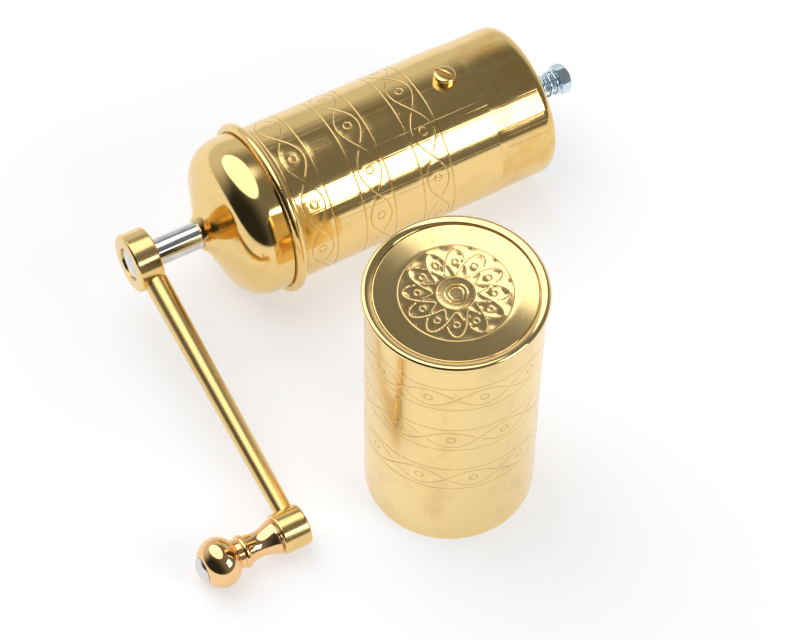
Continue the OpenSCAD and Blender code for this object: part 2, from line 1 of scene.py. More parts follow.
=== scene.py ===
"""Looks of the coffee mill: brass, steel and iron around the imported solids, with camera and studio."""
import json
import math

import bpy
from mathutils import Matrix, Quaternion, Vector
from mathutils.geometry import delaunay_2d_cdt
from mathutils.kdtree import KDTree


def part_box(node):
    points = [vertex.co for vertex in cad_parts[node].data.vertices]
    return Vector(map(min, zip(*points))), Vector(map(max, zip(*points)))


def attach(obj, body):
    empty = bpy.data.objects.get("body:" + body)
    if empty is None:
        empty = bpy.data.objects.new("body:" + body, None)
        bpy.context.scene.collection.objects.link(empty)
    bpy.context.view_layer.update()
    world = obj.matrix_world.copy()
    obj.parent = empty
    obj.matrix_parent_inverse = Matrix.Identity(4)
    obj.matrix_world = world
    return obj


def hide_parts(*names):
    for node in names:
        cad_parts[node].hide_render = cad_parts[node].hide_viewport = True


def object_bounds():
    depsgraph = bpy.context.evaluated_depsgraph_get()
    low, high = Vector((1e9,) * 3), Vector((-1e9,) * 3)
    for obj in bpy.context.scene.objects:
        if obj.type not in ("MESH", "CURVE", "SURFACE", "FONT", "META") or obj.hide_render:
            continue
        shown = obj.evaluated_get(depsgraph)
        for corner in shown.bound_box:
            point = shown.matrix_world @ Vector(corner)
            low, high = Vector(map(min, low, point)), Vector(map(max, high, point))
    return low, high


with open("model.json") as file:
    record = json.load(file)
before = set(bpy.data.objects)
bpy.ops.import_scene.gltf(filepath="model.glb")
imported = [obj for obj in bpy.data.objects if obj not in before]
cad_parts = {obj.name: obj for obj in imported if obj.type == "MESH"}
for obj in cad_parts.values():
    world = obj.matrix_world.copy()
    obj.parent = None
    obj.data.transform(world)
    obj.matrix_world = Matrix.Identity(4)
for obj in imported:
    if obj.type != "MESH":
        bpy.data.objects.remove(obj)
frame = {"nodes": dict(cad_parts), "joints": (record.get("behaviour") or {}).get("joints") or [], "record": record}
cad_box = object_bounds()

# Everything is shaped in millimetres and set down in metres
MM = 0.001
FULL_TURN = 2 * math.pi

# Engraved bands
EYES = 10
BAND_WIDTH = 10.2
BAND_PITCH = 20.3
TUBE_BAND_FIRST = 9.6
CUP_BAND_FIRST = 16.4
TUBE_EYE_TURNS = (-11.2, -3.9, 6.0)
CUP_EYE_TURNS = (-16.5, -0.8, -21.0)
EYE_SWING = 3.6
EYE_RING = 1.2
STROKE_END = 0.45
LINE_WIDTH = 0.5
LINE_DEPTH = 0.15
DIP_DEPTH = 0.035
DIP_WIDTH = 0.9
DIP_SPAN = 1.5
BAND_REACH = 7.2
LINE_STEP = 0.42
MESH_STEP = 0.9
TILE_COLUMNS = 24
RING_POINTS = 16
WELD_DISTANCE = 1e-4

# Rosette on the cup's base
PETALS = 12
PETAL_RADIUS = 10.6
PETAL_SWING = 4.1
PETAL_RING = 0.85
PETAL_REACH = 6.6
PETAL_DIP = 0.018
ROSETTE_LINES = (-5.4, 5.2)
ROSETTE_MIDDLE = (0.8, 0.5)
GROOVE_LEAN = 30
DISH = 0.45
DISH_RINGS = 6

# Turned details
TUBE_END_ROUND = 2.2
TUBE_END_ROLL = 3.4
SEAT_LENGTH = 20.0
SEAT_RAMP = 4.0
SEAT_SHOULDER = 0.05
BEAD_THICKNESS = 3.2
BEAD_RIDGE = 0.45
BEAD_RIDGE_TURN = 60
BEAD_LAP = 15
SHEET = 0.8
BASE_SHEET = 0.7
DOME_SIDE = 3.4
SHOULDER_RADIUS = 10.5
SHOULDER_TURN = 69
NECK_HOLLOW = 8.0
NECK_MEETING = 45
NECK_RADIUS = 5.69
HUB_CHAMFER = 0.5
HUB_SCREW_CROWN = 0.7
BOSS_ROUND = 0.7
ARM_ROOT_RADIUS = 3.65
ARM_TIP_RADIUS = 2.75
ARM_BACK = 1.0
ARM_SUNK = 0.8
KNOB_WAIST_RADIUS = 3.9
KNOB_RING_RADIUS = 5.1
KNOB_RING_HEIGHT = 2.4
KNOB_RING_TURN = 60
KNOB_BALL_RADIUS = 7.6
KNOB_BALL_HALF = 6.4
KNOB_STEPS = 20
WASHER_SET_BACK = 1.0
AXLE_HEAD_HEIGHT = 1.6
RIVET_RADIUS = 3.0
RIVET_ROUND = 0.7
SLOT_TURN = -59
SLOT_WIDTH = 1.0
SLOT_DEPTH = 1.1
SIDE_HEAD_HEIGHT = 2.7
SIDE_HEAD_ROUND = 0.9
SIDE_HEAD_TURN = 70
HEX_FLATS = 8.4
HEX_HEIGHT = 3.6
HEX_END = 0.94
THREAD_PITCH = 0.8
THREAD_DEPTH = 0.35
SPRING_CURLS = 7
SPRING_CLOSED = 0.75
SPRING_WIRE = 1.0
RIM_ROUND = 1.0
RIM_CROWN = 3.0
RIM_EDGE = 0.3
SMALL_BEVEL = 0.08
SHARP_ANGLE = 35
MERGE_DISTANCE = 0.002

# Both edge lines of a band
EDGE_LINES = (-BAND_WIDTH / 2, BAND_WIDTH / 2)

# Camera
CAMERA_AT = Vector((-266.978, -448.902, 766.147)) * MM
CAMERA_TURN = -31.078
CAMERA_RISE = 55.305
CAMERA_ROLL = 0.977
CAMERA_LENS = 137.5
SENSOR_WIDTH = 36
CLIP_END = 20

# Studio, in metres: softboxes by shape, azimuth, elevation, roll, width, height and brightness
LAMP_DISTANCE = 1.3
OVERHEAD = ("ELLIPSE", 117, 66, -14, 1.42, 2.2, 1.35)
NEAR = ("RECTANGLE", -59, 31, 0, 0.58, 0.62, 4.6)
FLOOR_SIZE = 8.0
FLOOR_GAP = 0.0001
FLOOR_COLOUR = (0.61, 0.62, 0.645, 1)
FLOOR_GLOW = 0.505
FAR_SIDE = 75
OPEN_SIDE = 20
ROOM_DARK = 0.025
ROOM_DIM = 0.19
FAR_GLOW = 0.55

# Heights and sides, as parts of a unit vector, over which the room's light fades
LOW_RANGE = (0.34, 0.76)
FAR_RANGE = (-0.1, 0.6)
OPEN_RANGE = (-0.8, -0.1)

# Metals' colours
YELLOW = (0.87, 0.62, 0.25)
YELLOW_DARK = (0.56, 0.33, 0.10)
PALE = (0.93, 0.69, 0.31)
PALE_DARK = (0.52, 0.30, 0.10)
WARM = (0.92, 0.59, 0.28)
WARM_DARK = (0.74, 0.42, 0.17)
AMBER = (0.70, 0.36, 0.055)
BRIGHT = (0.72, 0.71, 0.70)
BRIDGE_GREY = (0.55, 0.55, 0.56)
ZINC = (0.72, 0.84, 0.91)
IRON_DARK = (0.10, 0.095, 0.09)
IRON_LIGHT = (0.20, 0.19, 0.18)

# Finishes' noises by scale along each axis, detail and roughness
CLOUDS = ((0.09, 0.09, 0.05), 3.0, 0.55)
TURNED_LINES = ((0.05, 0.05, 3.0), 4.0, 0.6)
DRAWN_LINES = ((0.8, 0.8, 0.008), 4.0, 0.7)
SCRATCHES = ((1.9, 1.9, 0.014), 0.0, 0.5)
STAINS = ((0.10, 0.10, 0.08), 5.0, 0.6)
SPECKS = ((0.7, 0.7, 0.7), 1.0, 0.5)
STEEL_LINES = ((0.1, 0.1, 4.0), 3.0, 0.6)
PLATE_GRAIN = ((1.2, 1.2, 1.2), 3.0, 0.6)
STEEL_CLOUDS = ((0.3, 0.3, 0.3), 3.0, 0.55)
IRON_GRAIN = ((2.2, 2.2, 2.2), 5.0, 0.65)

# Noise levels over which each mark fades in, and cut-mark levels over which the cuts' painted shade fades in
CLOUD_RANGE = (0.5, 0.75)
# Painted shade: levels of the cut mark over which the engraved cuts darken
CUT_PAINTED_SHADE_RANGE = (0.15, 0.8)
SCRATCH_RANGE = (0.58, 0.74)
STAIN_RANGE = (0.40, 0.66)
SPECK_RANGE = (0.74, 0.79)
STEEL_CLOUD_RANGE = (0.4, 0.8)
IRON_RANGE = (0.35, 0.7)

# Each mark's share, and the cuts' painted shade, in colour, relief and roughness, with relief in metres
CLOUD_SHADE = 0.25
# Painted shade: how far the middles of the engraved cuts are darkened in colour
CUT_PAINTED_SHADE = 0.75
STAIN_SHADE = 0.45
SPECK_SHADE = 0.6
STEEL_SHADE = 0.6
STEEL_DULL = 0.72
DRAWN_SHARE = 0.3
LINE_ROUGHNESS = 0.05
DULL_ROUGHNESS = 0.08
STEEL_ROUGHNESS = 0.08
IRON_ROUGHNESS = 0.2
SATIN = 0.15
POLISH = 0.05
STAIN_EDGE = (-0.3, 0.5)
SHINE_EDGE = 0.1
TUBE_GRAIN = 5e-5
CUP_GRAIN = 2e-5
TURNED_GRAIN = 1.6e-6
STEEL_GRAIN = 1.5e-6
IRON_RELIEF = 2e-5


def joint(name):
    """The frame's joint of that name."""
    return next(j for j in frame["joints"] if j["name"] == name)


def mount(name):
    """The record's mount of that name."""
    return next(m for m in frame["record"]["mounts"] if m["name"] == name)


def span(node, place):
    """Lowest and highest point, least and greatest radius of a solid about the z axis of a place."""
    solid = frame["nodes"][node]
    inward = place.inverted() @ solid.matrix_world
    points = [inward @ vertex.co for vertex in solid.data.vertices]
    heights = [point.z for point in points]
    radii = [point.xy.length for point in points]
    return min(heights), max(heights), min(radii), max(radii)


def mill_place():
    """Place of the mill: z along its axis from the burr end to the crank, x upwards."""
    along = Vector(joint("crank_lift")["axis"]).normalized()
    level = Vector((0, 1, 0))
    turn = Matrix((level.cross(along), level, along)).transposed()
    start = Vector(joint("crank_turn")["pos_m"])
    place = Matrix.Translation(start) @ turn.to_4x4() @ Matrix.Scale(MM, 4)
    return place @ Matrix.Translation((0, 0, span("body_tube", place)[0]))


mill = mill_place()
knob_at = mill.inverted() @ Vector(joint("knob_spin")["pos_m"])
knob_place = mill @ Matrix.Translation((knob_at.x, knob_at.y, 0))
cup_at = Vector(mount("cup_bore")["pos_m"])
cup_place = Matrix.Translation((cup_at.x, cup_at.y, 0)) @ Matrix.Scale(MM, 4)


class Value:
    """A shader socket with arithmetic, or an empty start for the first nodes of a tree."""

    def __init__(self, tree, socket=None):
        self.tree = tree
        self.socket = socket

    def node(self, kind, settings=None, inputs=None, output=0):
        """A node by its type, with its settings, then its sockets' values or links, wrapped at one output."""
        made = self.tree.nodes.new("ShaderNode" + kind)
        for name, value in (settings or {}).items():
            setattr(made, name, value)
        for name, value in (inputs or {}).items():
            if isinstance(value, Value):
                self.tree.links.new(value.socket, made.inputs[name])
            else:
                made.inputs[name].default_value = value
        return Value(self.tree, made.outputs[output] if made.outputs else None)

    def math(self, operation, *values):
        """A Math node over values and numbers."""
        return self.node("Math", {"operation": operation}, dict(enumerate(values)))

    def __add__(self, other):
        return self.math("ADD", self, other)

    def __sub__(self, other):
        return self.math("SUBTRACT", self, other)

    def __mul__(self, other):
        return self.math("MULTIPLY", self, other)

    def __radd__(self, other):
        return self.math("ADD", other, self)

    def __rsub__(self, other):
        return self.math("SUBTRACT", other, self)

    def __rmul__(self, other):
        return self.math("MULTIPLY", other, self)

    def smooth(self, low, high):
        """0 below low, 1 above high, eased between."""
        settings = {"interpolation_type": "SMOOTHSTEP"}
        return self.node("MapRange", settings, {"Value": self, "From Min": low, "From Max": high})

    def mix(self, low, high):
        """Colour between two colours, with this value as the share of the second."""
        settings = {"data_type": "RGBA", "clamp_factor": True}
        return self.node("Mix", settings, {0: self, 6: low, 7: high}, 2)


def arc(centre_r, centre_z, radius, start, end, steps=8):
    """Points of an arc in an outline, from one angle to another in degrees."""
    turns = [math.radians(start + (end - start) * i / steps) for i in range(steps + 1)]
    return [(centre_r + radius * math.cos(a), centre_z + radius * math.sin(a)) for a in turns]


def closed(outline):
    """An outline that ends where it starts."""
    return outline + outline[:1]


def pick(*pieces):
    """Select pieces and nothing else, the last of them active."""
    bpy.ops.object.select_all(action="DESELECT")
    for piece in pieces:
        piece.select_set(True)
    bpy.context.view_layer.objects.active = pieces[-1]


def settle(piece, place, angle=SHARP_ANGLE):
    """Soft shading with crisp edges, then the piece's place worked into its mesh."""
    pick(piece)
    piece.data.transform(place)
    bpy.ops.object.shade_smooth_by_angle(angle=math.radians(angle))
    bpy.ops.object.modifier_add(type="WEIGHTED_NORMAL")
    weighted = piece.modifiers[-1]
    weighted.keep_sharp = True
    bpy.ops.object.modifier_apply(modifier=weighted.name)
    return piece


def turned(name, outline, steps=96):
    """A solid of revolution about z, spun from an outline of (radius, height) points."""
    bpy.ops.object.select_all(action="DESELECT")
    bpy.ops.mesh.primitive_plane_add(size=1)
    piece = bpy.context.object
    piece.name = name
    bpy.ops.object.mode_set(mode="EDIT")
    bpy.ops.mesh.select_all(action="SELECT")
    bpy.ops.mesh.merge(type="CENTER")
    bpy.ops.transform.translate(value=(outline[0][0], 0, outline[0][1]))
    for (r0, z0), (r1, z1) in zip(outline, outline[1:]):
        bpy.ops.mesh.extrude_region_move(TRANSFORM_OT_translate={"value": (r1 - r0, 0, z1 - z0)})
    bpy.ops.mesh.select_all(action="SELECT")
    bpy.ops.mesh.spin(steps=steps, angle=FULL_TURN, center=(0, 0, 0), axis=(0, 0, 1))
    bpy.ops.mesh.select_all(action="SELECT")
    bpy.ops.mesh.remove_doubles(threshold=MERGE_DISTANCE)
    bpy.ops.mesh.normals_make_consistent(inside=False)
    bpy.ops.object.mode_set(mode="OBJECT")
    return piece


def cut(piece, tool, operation="DIFFERENCE"):
    """Cut a tool out of a piece, or keep what both share, and drop the tool."""
    pick(piece)
    bpy.ops.object.modifier_add(type="BOOLEAN")
    boolean = piece.modifiers[-1]
    boolean.object = tool
    boolean.operation = operation
    bpy.ops.object.modifier_apply(modifier=boolean.name)
    bpy.data.objects.remove(tool)
    return piece


def soften(piece):
    """A fine bevel along the piece's sharp edges."""
    pick(piece)
    bpy.ops.object.modifier_add(type="BEVEL")
    bevel = piece.modifiers[-1]
    bevel.width = SMALL_BEVEL
    bevel.segments = 2
    bevel.limit_method = "ANGLE"
    bevel.angle_limit = math.radians(SHARP_ANGLE)
    bpy.ops.object.modifier_apply(modifier=bevel.name)
    return piece


def join(first, second):
    """One piece from two."""
    pick(second, first)
    bpy.ops.object.join()
    return first


class Tile:
    """One repeat of an engraved band laid flat: t runs round the piece, u up it, an eye in the middle."""

    def __init__(self, pitch, reach, lines, swing, ring, dip_depth):
        self.pitch = pitch
        self.dip_depth = dip_depth
        self.half = pitch / 2
        self.reach = reach
        self.lines = lines
        self.swing = swing
        self.ring = ring
        self.steps = round(pitch / LINE_STEP)
        self.rails = [self.straight(u) for u in lines] + [self.stroke(1), self.stroke(-1), self.circle()]
        self.dips = [self.tree(row) for row in self.dip_rows()]
        self.triangulate()

    def straight(self, u):
        """A line right through the tile: rails are (t, u, half width along t, half width along u)."""
        parts = [i / self.steps - 0.5 for i in range(self.steps + 1)]
        return [(part * self.pitch, u, 0, LINE_WIDTH / 2) for part in parts]

    def stroke_u(self, side, part):
        """Height of an eye's upper or lower line."""
        return side * self.swing * math.cos(math.pi * part)

    def stroke(self, side):
        """Half of an eye's outline, running out of the tile at one end and stopping short of the other."""
        first, last = (-0.5, STROKE_END) if side > 0 else (-STROKE_END, 0.5)
        rail = []
        for i in range(self.steps + 1):
            part = first + (last - first) * i / self.steps
            slope = self.swing * math.pi / self.pitch * math.sin(math.pi * part)
            free_end = i in (0, self.steps) and abs(part) < (0.5 + STROKE_END) / 2
            across = 0 if free_end else LINE_WIDTH / 2 * math.hypot(1, slope)
            rail.append((part * self.pitch, self.stroke_u(side, part), 0, across))
        return rail

    def circle(self):
        """The small ring in the eye, its first point repeated at the end."""
        steps = max(RING_POINTS, round(FULL_TURN * self.ring / LINE_STEP))
        turns = [FULL_TURN * (i % steps) / steps for i in range(steps + 1)]
        ways = [(math.cos(a), math.sin(a)) for a in turns]
        return [(self.ring * x, self.ring * y, LINE_WIDTH / 2 * x, LINE_WIDTH / 2 * y) for x, y in ways]

    def dip_rows(self):
        """Middle lines past the tile's sides, where the sheet is drawn in beside each cut."""
        wide = [i / self.steps - DIP_SPAN / 2 for i in range(round(DIP_SPAN * self.steps) + 1)]
        rows = [[(part * self.pitch, u) for part in wide] for u in self.lines]
        for side in (1, -1):
            own = [part for part in wide if side * part <= STROKE_END]
            rows.append([(part * self.pitch, self.stroke_u(side, part)) for part in own])
            beyond = [part for part in wide if side * part <= STROKE_END - 1]
            rows.append([(part * self.pitch, self.stroke_u(side, part + side)) for part in beyond])
        rows.append([(t, u) for t, u, _, _ in self.circle()])
        return [row for row in rows if row]

    @staticmethod
    def tree(row):
        """A row's points, ready for finding the nearest."""
        tree = KDTree(len(row))
        for index, (t, u) in enumerate(row):
            tree.insert((t, u, 0), index)
        tree.balance()
        return tree

    def dip(self, t, u):
        """Depth and slopes of the drawn-in sheet at a point."""
        rise = slope_t = slope_u = 0
        for tree in self.dips:
            near, _, distance = tree.find((t, u, 0))
            fall = self.dip_depth * math.exp(-(distance / DIP_WIDTH) ** 2)
            rise -= fall
            slope_t += 2 * fall * (t - near[0]) / DIP_WIDTH**2
            slope_u += 2 * fall * (u - near[1]) / DIP_WIDTH**2
        return rise, slope_t, slope_u

    def border(self):
        """Points along the tile's four sides, the same on the two that meet."""
        rows = round(2 * self.reach / MESH_STEP)
        heights = [self.reach * (2 * i / rows - 1) for i in range(rows + 1)]
        crossings = [0, *self.lines]
        clear = [u for u in heights if min(abs(u - c) for c in crossings) > LINE_WIDTH]
        points = [(side * self.half, u) for side in (-1, 1) for u in clear]
        columns = [i / TILE_COLUMNS - 0.5 for i in range(TILE_COLUMNS + 1)]
        return points + [(part * self.pitch, side * self.reach) for side in (-1, 1) for part in columns]

    def filling(self, cuts):
        """Grid points that keep clear of the cuts."""
        across = round(self.pitch / MESH_STEP)
        up = round(2 * self.reach / MESH_STEP)
        points = []
        for i in range(1, across):
            for j in range(1, up):
                t = self.pitch * (i / across - 0.5)
                u = self.reach * (2 * j / up - 1)
                if cuts.find((t, u, 0))[2] > MESH_STEP / 2:
                    points.append((t, u))
        return points

    def triangulate(self):
        """Triangles over the tile with a sunk middle line along each rail."""
        points = []
        edges = []
        sunk = set()
        for rail in self.rails:
            for side in (-1, 0, 1):
                start = len(points)
                points += [(t + side * dt, u + side * du) for t, u, dt, du in rail]
                edges += [(start + i, start + i + 1) for i in range(len(rail) - 1)]
                if side == 0:
                    sunk.update(start + i for i, (_, _, dt, du) in enumerate(rail) if dt or du)
        cuts = self.tree(points)
        points += self.border() + self.filling(cuts)
        flat = [Vector(point) for point in points]
        found, _, faces, origins, _, _ = delaunay_2d_cdt(flat, edges, [], 0, WELD_DISTANCE)
        self.points = [(point.x, point.y) for point in found]
        self.low = {i for i, from_rows in enumerate(origins) if sunk.intersection(from_rows)}
        self.dipped = [self.dip(t, u) for t, u in self.points]
        self.rises = [dip[0] - LINE_DEPTH * (i in self.low) for i, dip in enumerate(self.dipped)]
        self.faces = [(face, [self.slope(i, face) for i in face]) for face in faces]
        self.pair_sides()

    def slope(self, corner, face):
        """Slopes of the surface at a corner of a face: a cut's walls fall steeply to its middle."""
        _, slope_t, slope_u = self.dipped[corner]
        middles = [i for i in face if i in self.low]
        if not middles or corner in self.low:
            return slope_t, slope_u
        here = Vector(self.points[corner])
        way = (Vector(self.points[middles[0]]) - here).normalized()
        fall = LINE_DEPTH / (LINE_WIDTH / 2)
        return slope_t - fall * way.x, slope_u - fall * way.y

    def pair_sides(self):
        """Match the points of the right side with those of the left, and sort the two ends."""
        near = 1e-3
        left = [i for i, (t, _) in enumerate(self.points) if t < near - self.half]
        right = [i for i, (t, _) in enumerate(self.points) if t > self.half - near]
        by_height = [sorted(row, key=lambda i: self.points[i][1]) for row in (left, right)]
        self.twins = dict(zip(by_height[1], by_height[0]))
        ends = []
        for side in (-1, 1):
            end = [i for i, (_, u) in enumerate(self.points) if abs(u - side * self.reach) < near]
            ends.append(sorted((i for i in end if i not in self.twins), key=lambda i: self.points[i][0]))
        self.bottom, self.top = ends


def leaning(angle, lean):
    """Unit vector at a turn about the axis, leaning up from the level by lean degrees."""
    tilt = math.radians(lean)
    level = math.cos(tilt)
    return Vector((level * math.cos(angle), level * math.sin(angle), math.sin(tilt)))


class Skin:
    """A round shell built from ring to ring along its outline, with engraved bands between plain rings."""

    def __init__(self, name, columns):
        self.name = name
        self.columns = columns
        self.points = []
        self.cuts = {}
        self.faces = []
        self.normals = []
        self.edge = None
        self.first = None
        self.lean = 0

    def face(self, corners, normals):
        """One face, with a normal for each corner."""
        self.faces.append(corners)
        self.normals += normals

    def strip(self, fresh, lean):
        """Quads from the open edge to a fresh one."""
        old = self.edge
        for i in range(self.columns):
            j = (i + 1) % self.columns
            corners = (old[i][1], old[j][1], fresh[j][1], fresh[i][1])
            leans = ((old[i][0], self.lean), (old[j][0], self.lean), (fresh[j][0], lean), (fresh[i][0], lean))
            self.face(corners, [leaning(*pair) for pair in leans])

    def ring(self, radius, height, lean_in, lean_out=None):
        """The outline's next point, with its lean before it and after it."""
        start = self.edge[0][0] if self.edge else 0
        fresh = []
        for column in range(self.columns):
            angle = start + FULL_TURN * column / self.columns
            fresh.append((angle, len(self.points)))
            self.points.append(Vector((radius * math.cos(angle), radius * math.sin(angle), height)))
        if self.edge:
            self.strip(fresh, lean_in)
        else:
            self.first = (fresh, lean_in)
        self.edge = fresh
        self.lean = lean_in if lean_out is None else lean_out

    def pole(self, height):
        """Close the open edge with a point on the axis."""
        up = Vector((0, 0, 1))
        tip = len(self.points)
        self.points.append(up * height)
        for i in range(self.columns):
            here, there = self.edge[i], self.edge[(i + 1) % self.columns]
            normals = [leaning(here[0], self.lean), leaning(there[0], self.lean), up]
            self.face((here[1], there[1], tip), normals)

    def underside(self, height):
        """A flat fan under the first ring."""
        down = Vector((0, 0, -1))
        tip = len(self.points)
        self.points.append(-down * height)
        row = self.first[0]
        for i in range(self.columns):
            self.face((row[(i + 1) % self.columns][1], row[i][1], tip), [down, down, down])

    def close(self):
        """Join the last ring to the first."""
        fresh, lean = self.first
        self.strip(fresh, lean)

    def band(self, tile, count, turn, wrap):
        """Copies of a tile all the way round, set into the shell by wrap."""
        kept = [i for i in range(len(tile.points)) if i not in tile.twins]
        slot = {index: position for position, index in enumerate(kept)}
        start = len(self.points)

        def index_of(copy, i):
            if i in slot:
                return start + copy * len(kept) + slot[i]
            return start + (copy + 1) % count * len(kept) + slot[tile.twins[i]]

        def angle_of(copy, i):
            return turn + FULL_TURN / count * (copy + tile.points[i][0] / tile.pitch)

        for copy in range(count):
            for i in kept:
                if i in tile.low:
                    self.cuts[len(self.points)] = 1.0
                self.points.append(wrap(angle_of(copy, i), tile.points[i][1], tile.rises[i])[0])
        ends = []
        for row in (tile.bottom, tile.top):
            ends.append([(angle_of(copy, i), index_of(copy, i)) for copy in range(count) for i in row])
        shift = round((self.edge[0][0] - ends[0][0][0]) / (FULL_TURN / self.columns))
        bottom, top = [end[shift % self.columns:] + end[:shift % self.columns] for end in ends]
        self.strip(bottom, self.lean)
        for copy in range(count):
            for corners, slopes in tile.faces:
                normals = []
                for i, (slope_t, slope_u) in zip(corners, slopes):
                    _, out, along, up = wrap(angle_of(copy, i), tile.points[i][1], 0)
                    normals.append((out - along * slope_t - up * slope_u).normalized())
                self.face([index_of(copy, i) for i in corners], normals)
        self.edge = top

    def piece(self, place):
        """The finished mesh, in its place."""
        mesh = bpy.data.meshes.new(self.name)
        mesh.from_pydata([place @ point for point in self.points], [], self.faces)
        turn = place.to_3x3().normalized()
        mesh.polygons.foreach_set("use_smooth", [True] * len(mesh.polygons))
        mesh.normals_split_custom_set([turn @ normal for normal in self.normals])
        # The cut mark: 1 at the cuts' middles, where the brass material paints shade
        cut_depth = mesh.attributes.new("cut", "FLOAT", "POINT")
        cut_depth.data.foreach_set("value", [self.cuts.get(i, 0.0) for i in range(len(self.points))])
        made = bpy.data.objects.new(self.name, mesh)
        bpy.context.collection.objects.link(made)
        return made


def on_cylinder(radius, height):
    """Wrap a band round a cylinder at a height."""
    def wrap(angle, u, rise):
        out = leaning(angle, 0)
        up = Vector((0, 0, 1))
        return out * (radius + rise) + up * (height + u), out, up.cross(out), up
    return wrap


def dish(reach, top, rim):
    """Height and lean of the base disc at a distance from its middle."""
    height = top - DISH * (1 - (reach / rim) ** 2)
    return height, 90 + math.degrees(math.atan(2 * DISH * reach / rim**2))


def on_dish(radius, top, rim):
    """Wrap a band into a ring on the dish, u running inwards."""
    def wrap(angle, u, rise):
        out = leaning(angle, 0)
        up = Vector((0, 0, 1))
        height, lean = dish(radius - u, top, rim)
        return out * (radius - u) + up * (height + rise), leaning(angle, lean), up.cross(out), -out
    return wrap


def body_tube():
    """The engraved tube with its turned-down seat for the cup."""
    low, high, lip, outer = span("body_tube", mill)
    inner = outer - SHEET
    seat = mount("tube_spigot")["dims"]["r_mm"]
    rolled = low + TUBE_END_ROUND
    skin = Skin("tube_skin", EYES * TILE_COLUMNS)
    skin.ring(lip, low, 180, -90)
    for turn in range(-80, 1, 10):
        across, along = math.cos(math.radians(turn)), math.sin(math.radians(turn))
        lean = math.degrees(math.atan2(along / TUBE_END_ROLL, across / TUBE_END_ROUND))
        skin.ring(lip + across * TUBE_END_ROUND, low + (1 + along) * TUBE_END_ROLL, lean)
    shoulder = outer - SEAT_SHOULDER
    ramp = math.degrees(math.atan((shoulder - seat) / SEAT_RAMP))
    skin.ring(seat, SEAT_LENGTH - SEAT_RAMP, 0)
    skin.ring(shoulder, SEAT_LENGTH, -ramp, -45)
    skin.ring(outer, SEAT_LENGTH + SEAT_SHOULDER, -45, 0)
    tile = Tile(FULL_TURN * outer / EYES, BAND_REACH, EDGE_LINES, EYE_SWING, EYE_RING, DIP_DEPTH)
    for step, turn in reversed(list(enumerate(TUBE_EYE_TURNS))):
        middle = high - TUBE_BAND_FIRST - step * BAND_PITCH
        skin.band(tile, EYES, math.radians(turn), on_cylinder(outer, middle))
    skin.ring(outer, high, 0, 90)
    skin.ring(inner, high, 90, 180)
    for lean in range(180, 89, -15):
        radius, height = arc(lip, rolled, TUBE_END_ROUND - seat + inner, lean - 180, lean - 180, steps=1)[0]
        skin.ring(radius, height, lean)
    skin.lean = 180
    skin.close()
    return skin.piece(mill)


def cup_sleeve():
    """The engraved cup wall, mouth down."""
    low, high, inner, outer = span("cup_sleeve", cup_place)
    top = span("cup_rim", cup_place)[1]
    skin = Skin("cup_skin", EYES * TILE_COLUMNS)
    skin.ring(inner + SMALL_BEVEL, low, -90, -60)
    skin.ring(outer - SMALL_BEVEL, low, -90, -45)
    skin.ring(outer, low + SMALL_BEVEL, -45, 0)
    tile = Tile(FULL_TURN * outer / EYES, BAND_REACH, EDGE_LINES, EYE_SWING, EYE_RING, DIP_DEPTH)
    for step, turn in reversed(list(enumerate(CUP_EYE_TURNS))):
        middle = top - CUP_BAND_FIRST - step * BAND_PITCH
        facing = CAMERA_TURN - 90 + turn
        skin.band(tile, EYES, math.radians(facing), on_cylinder(outer, middle))
    skin.ring(outer, high - SMALL_BEVEL, 0, 45)
    skin.ring(outer - SMALL_BEVEL, high, 45, 90)
    skin.ring(inner, high, 90, 180)
    skin.ring(inner, low + SMALL_BEVEL, 180, 225)
    skin.close()
    return skin.piece(cup_place)


def cup_base():
    """The base pan: a flange under the rim, an upstand inside it and a dished disc with a rosette."""
    flange_low, top, _, flange_r = span("cup_base", cup_place)
    rim = span("cup_rim", cup_place)[2] - 2 * SMALL_BEVEL
    inside = rim - BASE_SHEET
    skin = Skin("base_skin", PETALS * TILE_COLUMNS)
    skin.ring(inside, top - BASE_SHEET - DISH, -90, 180)
    skin.underside(top - BASE_SHEET - DISH)
    skin.ring(inside, flange_low, 180, -90)
    skin.ring(flange_r, flange_low, -90, 0)
    skin.ring(flange_r, flange_low + BASE_SHEET, 0, 90)
    skin.ring(rim, flange_low + BASE_SHEET, 90, 0)
    rounding = BASE_SHEET / 2
    for lean in range(0, 91, 15):
        radius, height = arc(rim - rounding, top - rounding, rounding, lean, lean, steps=1)[0]
        skin.ring(radius, height, lean)
    edge = rim - rounding
    fall = (edge - PETAL_RADIUS - PETAL_REACH) / (DISH_RINGS + 1)
    skin.lean = dish(edge, top, edge)[1]
    for step in range(1, DISH_RINGS + 1):
        skin.ring(edge - step * fall, *dish(edge - step * fall, top, edge))
    pitch = FULL_TURN * PETAL_RADIUS / PETALS
    tile = Tile(pitch, PETAL_REACH, ROSETTE_LINES, PETAL_SWING, PETAL_RING, PETAL_DIP)
    skin.band(tile, PETALS, 0, on_dish(PETAL_RADIUS, top, edge))
    skin.lean = 90
    for share in ROSETTE_MIDDLE:
        radius = share * (PETAL_RADIUS - PETAL_REACH)
        height = dish(radius, top, edge)[0]
        skin.ring(radius + LINE_WIDTH / 2, height, 90, 90 + GROOVE_LEAN)
        skin.ring(radius, height - LINE_DEPTH, 90 + GROOVE_LEAN, 90 - GROOVE_LEAN)
        skin.ring(radius - LINE_WIDTH / 2, height, 90 - GROOVE_LEAN, 90)
    skin.pole(dish(0, top, edge)[0])
    return skin.piece(cup_place)


